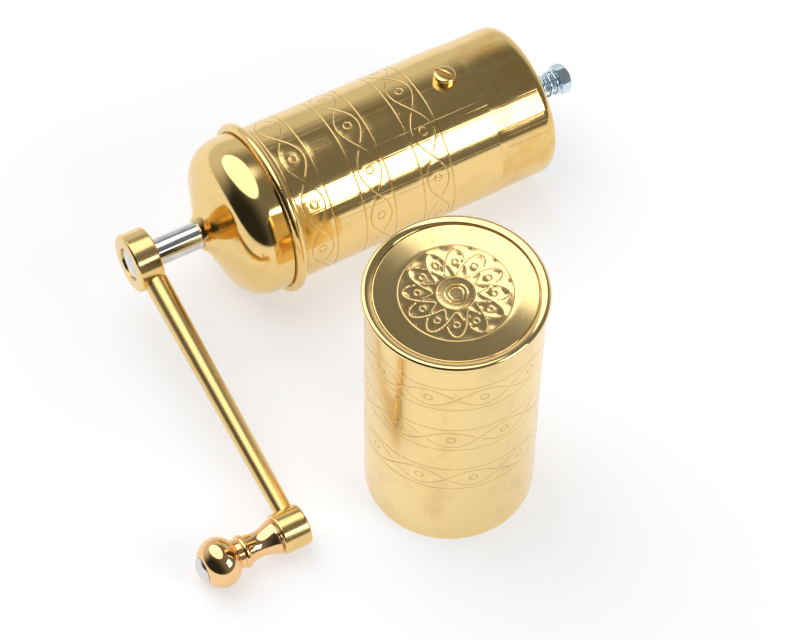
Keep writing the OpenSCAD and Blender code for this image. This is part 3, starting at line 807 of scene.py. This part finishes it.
def mouth_bead():
    """The rolled bead round the tube's mouth, with a thin ridge on its tube side."""
    _, high, inner, outer = span("mouth_bead", mill)
    half = BEAD_THICKNESS / 2
    middle = high - half
    wrap = math.degrees(math.acos((inner - outer + half) / half))
    ridge = arc(inner, middle - half - BEAD_RIDGE / 2, BEAD_RIDGE, -90, BEAD_RIDGE_TURN)
    outline = ridge + arc(outer - half, middle, half, BEAD_LAP - wrap, wrap, steps=32)
    return settle(turned("bead_ring", closed(outline), steps=192), mill, angle=50)


def neck_hollow(low):
    """Centre of the hollow between the dome's slope and its neck."""
    outer = span("lid_dome", mill)[3]
    turn = math.radians(SHOULDER_TURN)
    tangent_r = outer - SHOULDER_RADIUS + SHOULDER_RADIUS * math.cos(turn)
    tangent_z = low + DOME_SIDE + SHOULDER_RADIUS * math.sin(turn)
    hollow_r = NECK_RADIUS + NECK_HOLLOW * math.cos(math.radians(NECK_MEETING))
    slope = (tangent_r + NECK_HOLLOW * math.cos(turn) - hollow_r) / math.sin(turn)
    return hollow_r, tangent_z + slope * math.cos(turn) + NECK_HOLLOW * math.sin(turn)


def dome_line(inset, low, meeting):
    """The dome's outline, moved in by an inset, from its rim to where the hollow has turned to an angle."""
    outer = span("lid_dome", mill)[3]
    middle = outer - SHOULDER_RADIUS
    shoulder = arc(middle, low + DOME_SIDE, SHOULDER_RADIUS - inset, 0, SHOULDER_TURN, steps=40)
    hollow = arc(*neck_hollow(low), NECK_HOLLOW + inset, 180 + SHOULDER_TURN, 180 + meeting, steps=24)
    return [(outer - inset, low)] + shoulder + hollow


def lid_dome():
    """The spun dome with its rounded shoulder and drawn-up neck."""
    low, high, _, _ = span("lid_dome", mill)
    hollow_r, hollow_z = neck_hollow(low)
    bore = NECK_RADIUS - SHEET
    outside = dome_line(0, low, math.degrees(math.asin((hollow_z - high) / NECK_HOLLOW)))
    inside = dome_line(SHEET, low, math.degrees(math.acos((hollow_r - bore) / (NECK_HOLLOW + SHEET))))
    shell = turned("dome_shell", closed(outside + [(bore, high)] + inside[::-1]), steps=192)
    return settle(soften(shell), mill, angle=30)


def crank_hub():
    """The hub: a short cylinder with chamfered edges, bored for the shaft and sunk for its screw."""
    low, high, inner, outer = span("crank_hub", mill)
    screw_r = span("hub_screw", mill)[3] + SMALL_BEVEL
    floor = span("drive_shaft", mill)[1]
    edge = outer - HUB_CHAMFER
    outline = [(inner, low), (edge, low), (outer, low + HUB_CHAMFER), (outer, high - HUB_CHAMFER)]
    outline += [(edge, high), (screw_r, high), (screw_r, floor), (inner, floor)]
    return settle(soften(turned("hub_block", closed(outline))), mill)


def hub_screw():
    """The screw in the hub with its crowned head, its thread in the shaft's end."""
    low, high, _, outer = span("hub_screw", mill)
    seat = span("drive_shaft", mill)[1]
    thread = outer / 3
    crown = (outer**2 + HUB_SCREW_CROWN**2) / (2 * HUB_SCREW_CROWN)
    edge = math.degrees(math.acos(outer / crown))
    outline = [(0, low), (thread, low), (thread, seat), (outer, seat)]
    outline += arc(0, high - crown, crown, edge, 90, steps=10)[:-1] + [(0, high)]
    return settle(turned("hub_screw_head", outline, steps=64), mill, angle=40)


def arm_place():
    """Place with z from the mill's axis along the arm to the knob's axis."""
    low, high, _, _ = span("crank_hub", mill)
    way = Vector((knob_at.x, knob_at.y, 0)).normalized()
    axis = Vector((0, 0, 1))
    turn = Matrix((axis.cross(way), axis, way)).transposed()
    return mill @ Matrix.Translation((0, 0, (low + high) / 2 - ARM_BACK)) @ turn.to_4x4()


def crank_arm():
    """The tapered arm, sunk into the hub and the boss, with a satin finish."""
    hub = span("crank_hub", mill)[3]
    boss = span("arm_boss", knob_place)[3]
    root, tip = hub - ARM_SUNK, knob_at.xy.length - boss + ARM_SUNK
    outline = [(0, root), (ARM_ROOT_RADIUS, root), (ARM_TIP_RADIUS, tip), (0, tip)]
    arm = settle(turned("arm_rod", outline, steps=64), arm_place(), angle=40)
    satin = arm.data.attributes.new("satin", "FLOAT", "POINT")
    satin.data.foreach_set("value", [1.0] * len(arm.data.vertices))
    return arm


def arm_boss():
    """The boss at the arm's end, its edges rounded over."""
    low, high, inner, outer = span("arm_boss", knob_place)
    edge = outer - BOSS_ROUND
    outline = [(inner, low)] + arc(edge, low + BOSS_ROUND, BOSS_ROUND, -90, 0, steps=6)
    outline += arc(edge, high - BOSS_ROUND, BOSS_ROUND, 0, 90, steps=6) + [(inner, high)]
    return settle(turned("boss_block", closed(outline)), knob_place, angle=45)


def knob():
    """Foot, hollow waist, ring and ball, turned in one piece."""
    low, high, inner, _ = span("knob", knob_place)
    foot = span("knob_washer", knob_place)[3] + HUB_CHAMFER
    head = span("knob_axle", knob_place)[3] - SMALL_BEVEL
    ball_z = high - KNOB_BALL_HALF * math.sqrt(1 - (head / KNOB_BALL_RADIUS) ** 2)
    bead = KNOB_RING_HEIGHT / 2
    bead_z = ball_z - KNOB_BALL_HALF - bead
    ring = arc(KNOB_RING_RADIUS - bead, bead_z, bead, -KNOB_RING_TURN, KNOB_RING_TURN, steps=16)
    waist_r, waist_z = ring[0]
    dip = (foot + waist_r) / 2 - KNOB_WAIST_RADIUS
    foot_z = low + HUB_CHAMFER
    outline = [(inner, low), (foot - SMALL_BEVEL, low), (foot, low + SMALL_BEVEL)]
    for step in range(KNOB_STEPS):
        part = step / KNOB_STEPS
        radius = foot + (waist_r - foot) * part - dip * math.sin(math.pi * part)
        outline.append((radius, foot_z + (waist_z - foot_z) * part))
    start = math.degrees(math.asin(waist_r / KNOB_BALL_RADIUS)) - 90
    flat = 90 - math.degrees(math.asin(head / KNOB_BALL_RADIUS))
    ball = arc(0, 0, KNOB_BALL_RADIUS, start, flat, steps=40)
    pressed = KNOB_BALL_HALF / KNOB_BALL_RADIUS
    outline += ring + [(r, ball_z + z * pressed) for r, z in ball] + [(inner, high)]
    return settle(turned("knob_grip", closed(outline), steps=128), knob_place, angle=40)


def knob_washer():
    """The washer between boss and knob, set back so that only a dark joint shows."""
    low, high, inner, outer = span("knob_washer", knob_place)
    edge = outer - WASHER_SET_BACK
    outline = [(inner, low), (edge, low), (edge, high), (inner, high)]
    return settle(turned("washer_ring", closed(outline), steps=64), knob_place, angle=40)


def knob_axle():
    """The axle: a riveted end behind the boss and a domed head on the ball."""
    low, high, _, head = span("knob_axle", knob_place)
    shank = span("knob", knob_place)[2] - SMALL_BEVEL
    shoulder = span("arm_boss", knob_place)[0] - SMALL_BEVEL
    dome = (head**2 + AXLE_HEAD_HEIGHT**2) / (2 * AXLE_HEAD_HEIGHT)
    rim = 90 - math.degrees(math.asin(head / dome))
    outline = [(0, low)] + arc(RIVET_RADIUS - RIVET_ROUND, low + RIVET_ROUND, RIVET_ROUND, -90, 0)
    outline += [(RIVET_RADIUS, shoulder), (shank, shoulder), (shank, high - AXLE_HEAD_HEIGHT)]
    outline += arc(0, high - dome, dome, rim, 90, steps=16)
    return settle(turned("axle_rod", outline), knob_place, angle=40)


def slot_cutter(length, turn, height):
    """A bar that cuts a screw's slot down from a height."""
    bpy.ops.object.select_all(action="DESELECT")
    bpy.ops.mesh.primitive_cube_add(size=1, location=(0, 0, height))
    bar = bpy.context.object
    bar.scale = (length, SLOT_WIDTH, 2 * SLOT_DEPTH)
    bar.rotation_euler = (0, 0, math.radians(turn))
    bpy.ops.object.transform_apply(location=True, rotation=True, scale=True)
    return bar


def burr_screw():
    """The slotted screw through the tube that holds the outer burr."""
    box_low, box_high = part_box("burr_screw")
    middle = mill.inverted() @ ((box_low + box_high) / 2)
    place = mill @ Matrix.Translation((0, 0, middle.z)) @ Matrix.Rotation(math.pi / 2, 4, "Y")
    low, high, _, outer = span("burr_screw", place)
    base = high - SIDE_HEAD_HEIGHT
    thread = outer / 2
    outline = [(0, low), (thread, low), (thread, base), (outer, base)]
    outline += arc(outer - SIDE_HEAD_ROUND, high - SIDE_HEAD_ROUND, SIDE_HEAD_ROUND, 0, SIDE_HEAD_TURN)
    outline += [(0, high)]
    head = turned("burr_screw_head", outline, steps=64)
    slotted = cut(head, slot_cutter(4 * outer, SLOT_TURN, high))
    return settle(soften(slotted), place, angle=32)


def threaded_rod(radius, low, high):
    """A rod with a helical thread, as rings whose radius follows the thread's turn."""
    per_turn = 8
    rows = round((high - low) / THREAD_PITCH * per_turn)
    heights = [low + (high - low) * i / rows for i in range(rows + 1)]
    rod = turned("thread", [(0, low)] + [(radius, z) for z in heights] + [(0, high)], steps=24)
    for vertex in rod.data.vertices:
        if vertex.co.xy.length > radius / 2:
            turn = math.atan2(vertex.co.y, vertex.co.x) / FULL_TURN
            flank = abs((vertex.co.z / THREAD_PITCH + turn) % 1 - 0.5) * 2
            vertex.co.xy *= 1 - THREAD_DEPTH / radius * flank
    return rod


def adjusting_screw():
    """The adjusting screw: a hexagon head, chamfered at its end, on a long thread."""
    low, high, _, _ = span("adjusting_screw", mill)
    shank = span("lower_bridge", mill)[2] - 2 * SMALL_BEVEL
    bpy.ops.object.select_all(action="DESELECT")
    bpy.ops.mesh.primitive_cylinder_add(
        vertices=6, radius=HEX_FLATS / math.sqrt(3), depth=HEX_HEIGHT,
        location=(0, 0, low + HEX_HEIGHT / 2), rotation=(0, 0, math.pi / 2),
    )
    head = bpy.context.object
    head.name = "hex_screw"
    bpy.ops.object.transform_apply(location=True, rotation=True, scale=True)
    flat = HEX_FLATS / 2
    under = low + HEX_HEIGHT
    cone = [(0, low), (HEX_END * flat, low), (flat + HEX_HEIGHT, under), (0, under)]
    cut(head, turned("hex_chamfer", cone), "INTERSECT")
    soften(head)
    return settle(join(head, threaded_rod(shank, under, high)), mill, angle=32)


def adjusting_spring():
    """The coil under the adjusting screw's head, with a closed turn at both ends."""
    low, high, _, outer = span("adjusting_spring", mill)
    radius = outer - SPRING_WIRE / 2
    top, bottom = high - SPRING_WIRE / 2, low + SPRING_WIRE / 2
    per_turn = 32
    steps = round((SPRING_CURLS + 2 * SPRING_CLOSED) * per_turn)
    route = []
    for i in range(steps + 1):
        turn = FULL_TURN * i / per_turn
        part = min(max((i / per_turn - SPRING_CLOSED) / SPRING_CURLS, 0), 1)
        route.append(Vector((radius * math.cos(turn), radius * math.sin(turn), top + (bottom - top) * part)))
    curve = bpy.data.curves.new("spring_route", "CURVE")
    curve.dimensions = "3D"
    curve.bevel_depth = SPRING_WIRE / 2
    curve.bevel_resolution = 4
    curve.use_fill_caps = True
    spline = curve.splines.new("POLY")
    spline.points.add(len(route) - 1)
    for point, place in zip(spline.points, route):
        point.co = (*place, 1)
    coil = bpy.data.objects.new("spring_coil", curve)
    bpy.context.collection.objects.link(coil)
    pick(coil)
    bpy.ops.object.convert(target="MESH")
    return settle(bpy.context.object, mill, angle=60)


def cup_rim():
    """The rim pressed round the base, rounded over outside and in."""
    low, high, inner, outer = span("cup_rim", cup_place)
    crest = outer - RIM_ROUND
    reach = RIM_CROWN - RIM_EDGE
    lean = math.asin((crest - inner - RIM_EDGE) / reach)
    edge_z = high - RIM_CROWN + reach * math.cos(lean)
    outline = [(inner, low)] + arc(crest, low + RIM_ROUND, RIM_ROUND, -90, 0)
    outline += arc(crest, high - RIM_ROUND, RIM_ROUND, 0, 90)
    outline += arc(crest, high - RIM_CROWN, RIM_CROWN, 90, 90 + math.degrees(lean))
    outline += arc(inner + RIM_EDGE, edge_z, RIM_EDGE, 90 + math.degrees(lean), 180)
    return settle(turned("rim_ring", closed(outline), steps=192), cup_place, angle=50)


class Finish:
    """A metal's material: a base colour under streaks, tarnish and fine lines, in a place's millimetres."""

    def __init__(self, name, place):
        self.material = bpy.data.materials.new(name)
        self.material.use_nodes = True
        self.tree = self.material.node_tree
        self.tree.nodes.clear()
        self.start = Value(self.tree)
        inward = place.inverted()
        turn = {"Location": inward.translation, "Rotation": inward.to_euler(), "Scale": inward.to_scale()}
        turn["Vector"] = self.start.node("TexCoord", output="Object")
        self.here = self.start.node("Mapping", None, turn)

    def noise(self, scale, detail, rough):
        """Noise stretched by a different scale along each axis."""
        stretched = self.start.node("Mapping", None, {"Vector": self.here, "Scale": scale})
        inputs = {"Vector": stretched, "Scale": 1.0, "Detail": detail, "Roughness": rough}
        return self.start.node("TexNoise", None, inputs)

    def attribute(self, name):
        """A value that the mesh carries at its points, nought where it carries none."""
        return self.start.node("Attribute", {"attribute_name": name}, None, "Fac")

    def height(self):
        """Distance along the place's axis."""
        return self.start.node("SeparateXYZ", None, {"Vector": self.here}, "Z")

    def bump(self, level, depth):
        """Normal over a relief of a depth in metres."""
        return self.start.node("Bump", None, {"Height": level, "Distance": depth, "Strength": 1.0})

    def done(self, colour, roughness, normal):
        """The material, with its shader linked."""
        inputs = {"Base Color": colour, "Roughness": roughness, "Metallic": 1.0, "Normal": normal}
        shader = self.start.node("BsdfPrincipled", None, inputs)
        self.start.node("OutputMaterial", None, {"Surface": shader})
        return self.material


def brass(name, place, colour, dark, roughness, drawn_depth=None, stained_below=None, bright_above=None):
    """Brass: turned lines or drawn ones of a depth, painted shade in the cuts, stains below a height, a shine
    above one.
    """
    finish = Finish(name, place)
    clouds = finish.noise(*CLOUDS).smooth(*CLOUD_RANGE)
    # Painted shade in the engraved cuts, added to random clouds of darker tone
    cuts = finish.attribute("cut").smooth(*CUT_PAINTED_SHADE_RANGE)
    darker = clouds * CLOUD_SHADE + cuts * CUT_PAINTED_SHADE
    tone = darker.mix((*colour, 1), (*dark, 1))
    if drawn_depth is None:
        depth = TURNED_GRAIN
        lines = finish.noise(*TURNED_LINES)
    else:
        depth = drawn_depth
        lines = (finish.noise(*DRAWN_LINES) + finish.noise(*SCRATCHES).smooth(*SCRATCH_RANGE)) * DRAWN_SHARE
    rough = roughness + lines * LINE_ROUGHNESS + darker * DULL_ROUGHNESS + finish.attribute("satin") * SATIN
    if stained_below is not None:
        stains = finish.noise(*STAINS).smooth(*STAIN_RANGE)
        specks = finish.noise(*SPECKS).smooth(*SPECK_RANGE)
        below = 1 - finish.height().smooth(*(stained_below + edge for edge in STAIN_EDGE))
        tone = (below * stains * STAIN_SHADE).mix(tone, (*AMBER, 1))
        tone = (below * specks * SPECK_SHADE).mix(tone, (*dark, 1))
    if bright_above is not None:
        shine = finish.height().smooth(bright_above - SHINE_EDGE, bright_above + SHINE_EDGE)
        rough = rough - shine * (roughness - POLISH)
        lines = lines * (1 - shine)
    return finish.done(tone, rough, finish.bump(lines, depth))


def steel(name, place, colour, roughness, marks):
    """Bright steel or zinc plate with fine marks."""
    finish = Finish(name, place)
    lines = finish.noise(*marks)
    clouds = finish.noise(*STEEL_CLOUDS).smooth(*STEEL_CLOUD_RANGE)
    darker = tuple(STEEL_DULL * level for level in colour)
    tone = (clouds * STEEL_SHADE).mix((*colour, 1), (*darker, 1))
    return finish.done(tone, roughness + lines * STEEL_ROUGHNESS, finish.bump(lines, STEEL_GRAIN))


def cast_iron(name, place, roughness):
    """Dark, slightly grainy burr iron."""
    finish = Finish(name, place)
    grain = finish.noise(*IRON_GRAIN)
    tone = grain.smooth(*IRON_RANGE).mix((*IRON_DARK, 1), (*IRON_LIGHT, 1))
    return finish.done(tone, roughness + grain * IRON_ROUGHNESS, finish.bump(grain, IRON_RELIEF))


materials = {
    "tube_brass": brass(
        "tube_brass", mill, YELLOW, YELLOW_DARK, roughness=0.1, drawn_depth=TUBE_GRAIN,
        stained_below=SEAT_LENGTH,
    ),
    "lid_brass": brass("lid_brass", mill, YELLOW, YELLOW_DARK, roughness=0.07),
    "cup_brass": brass(
        "cup_brass", cup_place, PALE, PALE_DARK, roughness=0.17, drawn_depth=CUP_GRAIN,
        bright_above=span("cup_rim", cup_place)[0],
    ),
    "crank_brass": brass("crank_brass", mill, YELLOW, YELLOW_DARK, roughness=0.13),
    "knob_brass": brass("knob_brass", knob_place, WARM, WARM_DARK, roughness=0.07),
    "screw_brass": brass("screw_brass", mill, YELLOW, YELLOW_DARK, roughness=0.18),
    "bright_steel": steel("bright_steel", mill, BRIGHT, roughness=0.08, marks=STEEL_LINES),
    "bridge_steel": steel("bridge_steel", mill, BRIDGE_GREY, roughness=0.22, marks=PLATE_GRAIN),
    "zinc_plate": steel("zinc_plate", mill, ZINC, roughness=0.14, marks=PLATE_GRAIN),
    "burr_iron": cast_iron("burr_iron", mill, roughness=0.38),
}

bodies = frame["record"]["behaviour"]["bodies"]
body_names = {node: body for body, nodes in bodies.items() for node in nodes}
slots = {part["node"]: part["material_slot"] for part in frame["record"]["subparts"]}


def dress(node, piece):
    """Put a finished piece in a solid's stead: on its body, in its slot's material."""
    piece.data.materials.clear()
    piece.data.materials.append(materials[slots[node]])
    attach(piece, body_names[node])
    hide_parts(node)


makers = (
    body_tube, mouth_bead, lid_dome, crank_hub, hub_screw, crank_arm, arm_boss, knob, knob_washer, knob_axle,
    burr_screw, adjusting_screw, adjusting_spring, cup_sleeve, cup_base, cup_rim,
)
made = {maker.__name__: maker() for maker in makers}
for name, solid in frame["nodes"].items():
    if name in made:
        dress(name, made[name])
    else:
        solid.data.materials.clear()
        solid.data.materials.append(materials[slots[name]])


def direction(azimuth, elevation):
    """Unit vector at an azimuth from +X and an elevation above the floor, in degrees."""
    return leaning(math.radians(azimuth), elevation)


def camera():
    """The photo's camera."""
    turn, rise, roll = (math.radians(a) for a in (CAMERA_TURN, CAMERA_RISE, CAMERA_ROLL))
    back = Vector((math.sin(turn) * math.cos(rise), -math.cos(turn) * math.cos(rise), math.sin(rise)))
    right = Vector((math.cos(turn), math.sin(turn), 0))
    up = back.cross(right)
    level = Matrix((right, up, back)).transposed()
    bpy.ops.object.select_all(action="DESELECT")
    bpy.ops.object.camera_add()
    made_camera = bpy.context.object
    rolled = level @ Matrix.Rotation(roll, 3, "Z")
    made_camera.matrix_world = Matrix.Translation(CAMERA_AT) @ rolled.to_4x4()
    made_camera.data.sensor_width = SENSOR_WIDTH
    made_camera.data.sensor_fit = "HORIZONTAL"
    made_camera.data.lens = CAMERA_LENS
    made_camera.data.clip_end = CLIP_END
    bpy.context.scene.camera = made_camera


def softbox(name, shape, azimuth, elevation, roll, width, height, brightness):
    """A lamp aimed at the mill from a direction; brightness is what a mirror would show of it."""
    aim = (cad_box[0] + cad_box[1]) / 2
    way = direction(azimuth, elevation)
    bpy.ops.object.select_all(action="DESELECT")
    bpy.ops.object.light_add(type="AREA", location=aim + way * LAMP_DISTANCE)
    lamp = bpy.context.object
    lamp.name = name
    lamp.data.shape = shape
    lamp.data.size = width
    lamp.data.size_y = height
    lamp.data.energy = brightness * math.pi * width * height
    lamp.rotation_mode = "QUATERNION"
    lamp.rotation_quaternion = way.to_track_quat("Z", "Y") @ Quaternion((0, 0, 1), math.radians(roll))
    lamp.visible_camera = False


def seen_by_lens(start):
    """1 for rays that show the background: straight from the lens or through glass."""
    lens = start.node("LightPath", output="Is Camera Ray")
    through = start.node("LightPath", output="Is Transmission Ray")
    return lens.math("MAXIMUM", lens, through)


def floor():
    """A white floor that keeps the shadows and glows up to white for the lens and in the metal."""
    bpy.ops.object.select_all(action="DESELECT")
    bpy.ops.mesh.primitive_plane_add(size=FLOOR_SIZE, location=(0, 0, cad_box[0].z - FLOOR_GAP))
    ground = bpy.context.object
    ground.name = "floor"
    bpy.ops.object.transform_apply(location=True)
    material = bpy.data.materials.new("floor_paper")
    material.use_nodes = True
    material.node_tree.nodes.clear()
    start = Value(material.node_tree)
    mirrored = start.node("LightPath", output="Is Glossy Ray")
    shown = mirrored.math("MAXIMUM", mirrored, seen_by_lens(start))
    paper = start.node("BsdfDiffuse", None, {"Color": FLOOR_COLOUR})
    glow = start.node("Emission", None, {"Color": (1, 1, 1, 1), "Strength": shown * FLOOR_GLOW})
    both = start.node("AddShader", None, {0: paper, 1: glow})
    start.node("OutputMaterial", None, {"Surface": both})
    ground.data.materials.append(material)


def room():
    """White for the lens; for the metal a dim studio, dark behind the camera, bright low on the far side."""
    world = bpy.data.worlds.new("studio")
    world.use_nodes = True
    world.node_tree.nodes.clear()
    bpy.context.scene.world = world
    start = Value(world.node_tree)
    way = start.node("TexCoord", output="Generated")
    height = start.node("SeparateXYZ", None, {"Vector": way}, "Z")

    def facing(azimuth):
        settings = {"operation": "DOT_PRODUCT"}
        return start.node("VectorMath", settings, {0: way, 1: direction(azimuth, 0)}, "Value")

    low = 1 - height.smooth(*LOW_RANGE)
    far = facing(FAR_SIDE).smooth(*FAR_RANGE)
    open_side = facing(OPEN_SIDE).smooth(*OPEN_RANGE)
    level = ROOM_DARK + open_side * (ROOM_DIM - ROOM_DARK) + far * low * FAR_GLOW
    lens = seen_by_lens(start)
    shown = lens + (1 - lens) * level
    light = start.node("Background", None, {"Color": (1, 1, 1, 1), "Strength": shown})
    start.node("OutputWorld", None, {"Surface": light})


camera()
floor()
room()
softbox("overhead_softbox", *OVERHEAD)
softbox("near_softbox", *NEAR)
bpy.context.scene.view_settings.view_transform = "Standard"
